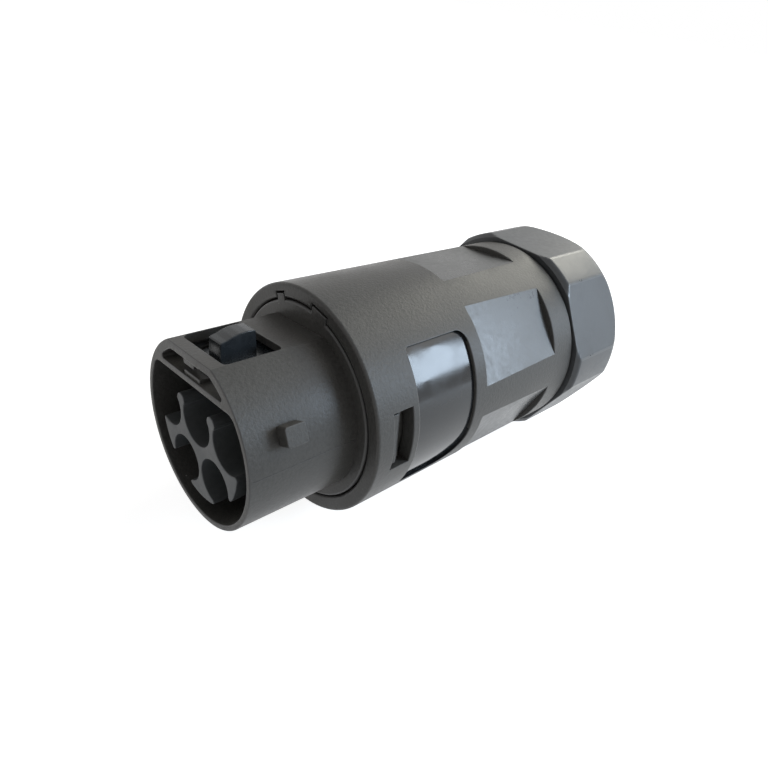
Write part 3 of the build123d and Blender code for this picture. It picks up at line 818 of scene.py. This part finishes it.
nose = pushed("nose_body", nose_line, NOSE_TIP, 2)
lug = pushed("lug", plate_line(LUG_START, LUG_END, LUG_HALF, 0.4), 12.5, LUG_TOP, "Z")
lug.data.transform(Matrix.Rotation(math.radians(LUG_TURN - 90), 4, "X"))
flange = turned("flange", [
    (0, 0), (0, FLANGE_R - 0.2), (0.2, FLANGE_R), (FLANGE_END, FLANGE_R), (2.7, BARREL_R),
    (GROOVE_START, BARREL_R), (GROOVE_START, GROOVE_R), (GROOVE_END, GROOVE_R),
    (GROOVE_END, BARREL_R), (BARREL_END, BARREL_R), (BARREL_END, 0)])
keys = [block(0, KEY_END, 13.8, KEY_R, -wide / 2, wide / 2, turn) for turn, wide in KEYS.items()]
joined(nose, flange, *keys, lug)
hatch = pushed("window", plate_line(HATCH_START, HATCH_END, HATCH_HALF, 0.75), 9.74, 15, "Z")
bore = turned("barrel_bore", [
    (CHAMBER_END, 0), (CHAMBER_END, BARREL_BORE), (BARREL_END + 1, BARREL_BORE), (BARREL_END + 1, 0)])
cut(nose, pushed("chamber", chamber_line, NOSE_TIP - 1, CHAMBER_END),
    pushed("slot", slot_line, NOSE_TIP - 1, SLOT_END), hatch, bore)
print("nose:", len(nose.data.polygons), "faces")

# %% [markdown]
# Inside the slot are small ribs that stiffen its mouth and two lips that hold the latch's
# root. The barrel has holes over the clamp screws and a sprung tongue on each side, whose
# wedge snaps into the sleeve's window. A fine raised seam runs along both sides, where the
# two halves of the mould met.

# %% Nose fittings
POLES = {"l1": (7.75, 1.78), "l2": (0.0, 2.08), "l3": (-7.75, 1.78), "n": (3.85, -5.42),
         "pe": (-3.85, -5.42)}
OUTWARD = {"l1": -90.0, "l2": 0.0, "l3": 90.0, "n": -144.6, "pe": 144.6}
SCREW_X, INTO_WALL = 17.5, 0.1
SLOT_FLOOR, SLOT_ROOF = SLOT_LOW - INTO_WALL, SLOT_HIGH + INTO_WALL
UPRIGHT = Matrix.Rotation(-math.pi / 2, 4, "Y")


def bar(name, start, end, radius, steps):
    """Plain round bar on the axis."""
    return turned(name, [(start, 0), (start, radius), (end, radius), (end, 0)], steps=steps)


def radial_hole(pole, radius, start, end):
    """Round bar that crosses the wall above a pole's clamp screw."""
    hole = bar("bar", start, end, radius, 48)
    outward = Matrix.Rotation(math.radians(OUTWARD[pole]), 4, "X")
    hole.data.transform(Matrix.Translation((SCREW_X, *POLES[pole])) @ outward @ UPRIGHT)
    return hole


ribs = [block(-16.4, -15, y0, y1, z0, z1) for y0, y1, z0, z1 in
        ((-2, 2, SLOT_FLOOR, 9.1), (-0.67, 2, 9.97, SLOT_ROOF), (-2, -0.67, 10.5, SLOT_ROOF))]
lips = [block(-4.6, -3.8, -4.5, 4.5, z0, z1) for z0, z1 in ((SLOT_FLOOR, 9.015), (10.465, SLOT_ROOF))]
tabs = [pushed("tab", [(3, side * 13.95), (3, side * 16.5), (4.25, side * 16.5),
                       (6.35, side * 14.9), (6.35, side * 13.95)], -3.9, 3.9, "Z") for side in (1, -1)]
slits = [block(KEY_END, 11.6, side * 8.6, side * 16, z, z + 1) for side in (1, -1) for z in (4.0, -5.0)]
reliefs = [block(KEY_END, 3.25, side * 8.6, side * 17, -WINDOW_HALF, WINDOW_HALF) for side in (1, -1)]
screw_ways = [radial_hole(pole, 2.3, 3.3, 17.5) for pole in POLES]
nib_holes = [block(18.05, 20.4, 11.9, 16, -2.1, 2.1, angle) for angle in (50, 130)]
joined(nose, *ribs, *lips, *tabs)
cut(nose, *slits, *reliefs, *screw_ways, *nib_holes)
painted(nose, nylon, worn_edge_and_highlight)
softened(nose, 0.13, edge_slot=EDGE_SLOT, angle=17.0)
# The seams take the lighter edge finish, whose tint is partly a painted highlight.
seams = [block(-16.4, -0.4, 13.1, 13.31, -0.05, 0.05, turn) for turn in (0, 180)]
for seam in seams:
    painted(seam, worn_edge_and_highlight)
lay(merged(nose, *seams), "housing", "shell_plastic", "nose_shell")

# %% [markdown]
# ## The latch
# A separate sprung lever of smooth acetal: a thin blade in the slot, a hook that stands out of
# the window, and a round bead at its root. Smooth acetal is glossier and bluer than the nylon.

# %% Latch
BLADE_TIP, BLADE_HALF, BLADE_LOW, BLADE_HIGH = -14.3, 3.4, 9.72, 10.42
PIVOT_X, PIVOT_Z, BEAD_R = -2.6, 9.77, 0.95

blade_line = rounded([(BLADE_TIP, -BLADE_HALF, 0.75), (PIVOT_X, -BLADE_HALF), (PIVOT_X, BLADE_HALF),
                      (BLADE_TIP, BLADE_HALF, 0.75)])
latch = pushed("latch_blade", blade_line, BLADE_LOW, BLADE_HIGH, "Z")
hook_line = rounded([(-13.15, 10.07), (-12.96, 12.94, 0.25), (-12.04, 13.12, 1.5), (-11.17, 13.45, 1.5),
                     (-10.16, 13.68, 3.0), (-9.0, 13.74, 3.0), (-7.82, 13.62, 0.25), (-7.79, 10.07)])
bead = [(PIVOT_X + BEAD_R * math.cos(a), PIVOT_Z + BEAD_R * math.sin(a))
        for a in spaced(0, 2 * math.pi, 41)[:-1]]
joined(latch, pushed("hook", hook_line, -1.5, 1.5, "Y"), pushed("root", bead, -4.7, 4.7, "Y"))
acetal = moulded("smooth_acetal", (0.024, 0.028, 0.032), 0.27, 0.0008, 0.000004, drift=0.2, sheen=0.3)
painted(latch, acetal)
softened(latch, 0.12, angle=20.0)
lay(latch, "latch_lever", "latch_plastic", "latch")

# %% [markdown]
# ## The insulating web
# The web stands in the chamber and keeps the five contacts apart. Its outline is what five
# round cavities leave of a disc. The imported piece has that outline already, so a copy of its
# mesh is merged, drawn back upright, and gets the small edge radii of the mould.

# %% Web
web = added("contact_web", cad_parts["cavity_web"].data.copy())
web.data.transform(LAID.inverted())
web.data.materials.clear()
web_nylon = moulded("insulator_nylon", (0.085, 0.09, 0.092), 0.5, 0.0003, 0.00002)
painted(web, web_nylon)
softened(web, 0.12, angle=20.0)
lay(web, "housing", "insulator_plastic", "cavity_web")

# %% [markdown]
# ## Contacts, clamps and screws
# Each of the five poles has the same three metal pieces: a turned pin, a clamp and a screw.
# Each is drawn once, with its screw upwards, and a Geometry Nodes tree sets copies on five
# points. An attribute on the points says how far each copy turns, so that every screw faces
# out through the nearest wall. The copies are made real, as an exported model has no instances.

# %% Metal finishes
def metal(name, tint, rough, streak, drift=0.15):
    """Bare or plated metal with fine turning marks round X and a little tarnish."""
    material, tree, shader = new_material(name)
    place = node(tree, "ShaderNodeTexCoord").outputs["Object"]
    squeezed = node(tree, "ShaderNodeMapping", _0=place, Scale=(1.0, 0.06, 0.06))
    marks = node(tree, "ShaderNodeTexNoise", Vector=squeezed.outputs[0], Scale=0.5 / streak,
                 Detail=2.0).outputs[0]
    cloud = between(tree, grainy(tree, 0.0015), 0.0, 1.0)
    colour = tone(tree, cloud, [c * (1 - drift) for c in tint], tint)
    roughness = between(tree, marks, rough - 0.08, rough + 0.10)
    bump = node(tree, "ShaderNodeBump", Height=marks, Strength=0.4, Distance=0.000001)
    fed(tree, shader, Base_Color=colour, Roughness=roughness, Normal=bump.outputs["Normal"],
        Metallic=1.0)
    return material


silver = metal("silver_plate", (0.82, 0.80, 0.76), 0.30, 0.0002)
brass = metal("turned_brass", (0.78, 0.62, 0.34), 0.32, 0.0002)
steel = metal("zinc_steel", (0.66, 0.66, 0.65), 0.36, 0.0003)
print("metals:", silver.name, brass.name, steel.name)

# %% [markdown]
# The tree's inputs are a piece and its finish, and the points are the mesh that it runs on.

# %% A tree that sets a piece on points
def setting_tree():
    """Tree that sets copies of a piece on points, each turned about X by its own angle."""
    tree, given = empty_tree("set_on_points", {"Piece": "Object", "Finish": "Material"})
    piece = node(tree, "GeometryNodeObjectInfo", Object=given["Piece"])
    turn = node(tree, "GeometryNodeInputNamedAttribute", {"data_type": "FLOAT"}, Name="turn")
    spin = node(tree, "ShaderNodeCombineXYZ", _0=turn.outputs["Attribute"])
    copies = node(tree, "GeometryNodeInstanceOnPoints", Points=given["Geometry"],
                  Instance=piece.outputs["Geometry"], Rotation=spin.outputs[0])
    return ended(tree, copies.outputs[0], given["Finish"])


def set_on_points(name, piece, points, turns, finish):
    """Copies a piece to each point, turned about X by its own number of degrees."""
    host = added(name, bpy.data.meshes.new(name))
    host.data.from_pydata(points, [], [])
    turn = host.data.attributes.new("turn", "FLOAT", "POINT")
    turn.data.foreach_set("value", [math.radians(t) for t in turns])
    grown(name, setting, host, Piece=piece, Finish=finish)
    bpy.data.objects.remove(piece)
    return host


setting = setting_tree()
places = [(0.0, y, z) for y, z in POLES.values()]
turns = [OUTWARD[pole] for pole in POLES]
print("a piece for each of", len(places), "poles")

# %% [markdown]
# The pin has a round nose, a collar that seats in the carrier, and a tail in the clamp. The
# clamp is turned brass with holes for the pin, the wire and, across them, the screw.

# %% Pins, clamps and screws
PIN_R, TAIL_R, COLLAR_R, COLLAR_START, COLLAR_END = 1.25, 1.5, 2.1, 3.85, 5
CLAMP_START, CLAMP_END, CLAMP_R, WIRE_R, WIRE_DROP = 6.2, 19.4, 2.8, 1.7, -0.45
SCREW_R, SCREW_LOW, SCREW_TOP = 1.45, 1.15, 3.5

pin = turned("pin", [
    (-10.4, 0), (-10.4, 0.5, 0.1), (-10.0, 1.0, 0.3), (-9.4, PIN_R, 0.6), (COLLAR_START, PIN_R),
    (COLLAR_START, COLLAR_R, 0.1), (COLLAR_END, COLLAR_R, 0.1), (COLLAR_END, TAIL_R),
    (10.7, TAIL_R, 0.25), (10.7, 0)], steps=48)
clamp = turned("clamp", [(CLAMP_START, 0), (CLAMP_START, CLAMP_R, 0.25), (CLAMP_END, CLAMP_R, 0.25),
                         (CLAMP_END, 0)], steps=64)
wire_hole = bar("wire_hole", 11.8, CLAMP_END + 1, WIRE_R, 50)
wire_hole.data.transform(Matrix.Translation((0, 0, WIRE_DROP)))
at_screw = Matrix.Translation((SCREW_X, 0, 0)) @ UPRIGHT
screw_hole = bar("screw_hole", 0.25, 5.6, SCREW_R + 0.02, 48)
screw_hole.data.transform(at_screw)
cut(clamp, bar("pin_hole", 5, 11.2, TAIL_R, 50), wire_hole, screw_hole)
softened(clamp, 0.1, angle=25.0)
screw = turned("screw", [(SCREW_LOW, 0), (SCREW_LOW, SCREW_R, 0.3), (SCREW_TOP, SCREW_R, 0.12),
                         (SCREW_TOP, 0)], steps=48)
screw.data.transform(at_screw)
cut(screw, block(15, 20, -0.275, 0.275, 2.4, 5))
softened(screw, 0.05, angle=25.0)

pins = set_on_points("contact_pins", pin, places, turns, silver)
clamps = set_on_points("wire_clamp_set", clamp, places, turns, brass)
screws = set_on_points("clamp_screw_set", screw, places, turns, steel)
lay(pins, "housing", "plated_contact", *[f"pin_{pole}" for pole in POLES])
lay(clamps, "housing", "clamp_brass", *[f"wire_clamp_{pole}" for pole in POLES])
lay(screws, "housing", "screw_steel", "clamp_screws")

# %% [markdown]
# ## The claw and the cable seal
# Under the nut a ring of twelve sprung fingers is pressed on a ribbed rubber seal, and the
# seal grips the cable. The contacts' tree sets one finger at twelve points, which all lie on
# the axis and differ only in their turn.

# %% Claw and seal
claw_nylon = moulded("claw_nylon", (0.12, 0.12, 0.118), 0.45, 0.0005, 0.000006)
rubber = moulded("seal_rubber", (0.045, 0.045, 0.046), 0.62, 0.00035, 0.00001, drift=0.25)
FINGERS, FINGER_ARC, FINGER_START = 12, 23.8, 47.15
CLAW_R, CLAW_INSIDE, CLAW_START = 12.85, 11.3, 44.05
SEAL_START, SEAL_R, SEAL_BORE = 45.3, 11, 6.8

finger = turned("finger", [
    (FINGER_START, CLAW_INSIDE), (FINGER_START, CLAW_R), (54, CLAW_R, 0.4), (57, 10.3, 0.2),
    (57, 9.5, 0.15), (55.5, CLAW_INSIDE, 0.4)], steps=14, arc=FINGER_ARC)
finger.data.transform(Matrix.Rotation(math.radians((360 / FINGERS - FINGER_ARC) / 2), 4, "X"))
fingers = set_on_points("claw_fingers", finger, [(0.0, 0.0, 0.0)] * FINGERS,
                        [360 / FINGERS * k for k in range(FINGERS)], claw_nylon)
claw = turned("claw_ring", [
    (CLAW_START, 9.6, 0.2), (CLAW_START, CLAW_R, 0.2), (FINGER_START + 0.1, CLAW_R),
    (FINGER_START + 0.1, CLAW_INSIDE), (45.25, CLAW_INSIDE), (45.25, 9.6, 0.15)], steps=192)
painted(claw, claw_nylon)
softened(claw, 0.1)
lay(merged(claw, fingers), "housing", "claw_plastic", "clamp_claw")

grooves = []
for start in (47.55, 49.8, 52.05):
    steps = ((start, SEAL_R), (start, SEAL_R - 0.5), (start + 1, SEAL_R - 0.5), (start + 1, SEAL_R))
    grooves += [(*corner, 0.2) for corner in steps]
seal = turned("cable_seal_ring", [
    (SEAL_START, 7.3, 0.1), (SEAL_START, SEAL_R, 0.3), *grooves, (53.65, SEAL_R, 0.5),
    (55.65, 10.25, 0.3), (55.9, 9.5, 0.2), (55.9, 7.3, 0.2), (55.15, SEAL_BORE, 0.4),
    (SEAL_START + 0.75, SEAL_BORE, 0.4)], steps=192)
painted(seal, rubber)
facing_out(seal)
lay(seal, "housing", "seal_rubber", "cable_seal")

# %% [markdown]
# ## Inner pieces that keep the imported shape
# The carrier, the terminal block, the ring that slides on the claw and the seal in the barrel
# are hidden when the connector is whole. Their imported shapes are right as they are, so they
# only get their finishes.

# %% Finishes of the inner pieces
inner = {"contact_carrier": web_nylon, "terminal_block": web_nylon, "slip_ring": claw_nylon,
         "insert_seal": rubber}
for name, finish in inner.items():
    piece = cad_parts[name]
    piece.data.materials.clear()
    painted(piece, finish)
print("finished in place:", ", ".join(inner))

# %% [markdown]
# ## Floor and light
# The photograph has a white ground. The floor is pale and matt, and a glow that is only seen
# directly or in a mirror lifts it to white, so it lights nothing and the soft shadow under the
# connector stays.

# %% Floor
def seen_directly(tree):
    """One for what the camera sees, also in a mirror or through glass, and zero for other light."""
    rays = tree.nodes.new("ShaderNodeLightPath").outputs
    mirrored = number(tree, "MAXIMUM", rays["Is Glossy Ray"], rays["Is Transmission Ray"])
    return number(tree, "MAXIMUM", rays["Is Camera Ray"], mirrored)


FLOOR, REACH, GLOW = -0.01752, 8, 0.88
corners = [(-REACH, -REACH), (REACH, -REACH), (REACH, REACH), (-REACH, REACH)]
floor = pushed("floor", corners, FLOOR - 0.002, FLOOR, "Z")
paper, tree, shader = new_material("white_paper")
shade = between(tree, grainy(tree, 0.004), 0.0, 1.0)
fed(tree, shader, Base_Color=tone(tree, shade, (0.58, 0.58, 0.58), (0.62, 0.62, 0.62)), Roughness=0.9)
glow = node(tree, "ShaderNodeEmission", Strength=number(tree, "MULTIPLY", seen_directly(tree), GLOW))
both = node(tree, "ShaderNodeAddShader", _0=shader.outputs[0], _1=glow.outputs[0])
fed(tree, tree.nodes["Material Output"], Surface=both.outputs[0])
painted(floor, paper)
print(f"the floor is {-FLOOR * 1000:.2f} mm below the axis")

# %% [markdown]
# Most of the photograph's light comes from the right. A bluish lamp stands there, about 23
# degrees up, and draws the streak in the recess and the bright flats. A warmer one beyond the
# nut skims the top, and a weak one fills the upper side. The world is white where it is seen
# directly or in a mirror, and otherwise gives a weak even light.

# %% Lamps and world
def lamp(name, place, target, width, height, power, tint):
    """Rectangular lamp in metres that faces a target."""
    light = bpy.data.lights.new(name, "AREA")
    light.shape = "RECTANGLE"
    light.size, light.size_y, light.energy, light.color = width, height, power, tint
    obj = added(name, light)
    obj.location = place
    obj.rotation_euler = (Vector(place) - Vector(target)).to_track_quat("Z", "Y").to_euler()
    obj.visible_camera = False


AIM, ROOM_LIGHT = (0.02, 0, 0), 0.2
lamp("right_key", (0.264, -0.275, 0.155), AIM, 0.155, 0.155, 1.1, (0.68, 0.83, 1.0))
lamp("behind_nut", (0.355, 0.028, 0.214), AIM, 0.24, 0.18, 0.60, (1.0, 0.98, 0.86))
lamp("upper_right", (0.243, -0.122, 0.305), AIM, 0.24, 0.24, 0.25, (1.0, 0.97, 0.92))

world = bpy.data.worlds.new("room")
bpy.context.scene.world = world
world.use_nodes = True
tree = world.node_tree
strength = between(tree, seen_directly(tree), ROOM_LIGHT, 1.0, 0.0, 1.0)
fed(tree, tree.nodes["Background"], Strength=strength, Color=(1.0, 1.0, 1.0, 1.0))
bpy.context.scene.view_settings.view_transform = "Standard"
print("lamps:", len(bpy.data.lights), "and an even light of", ROOM_LIGHT)
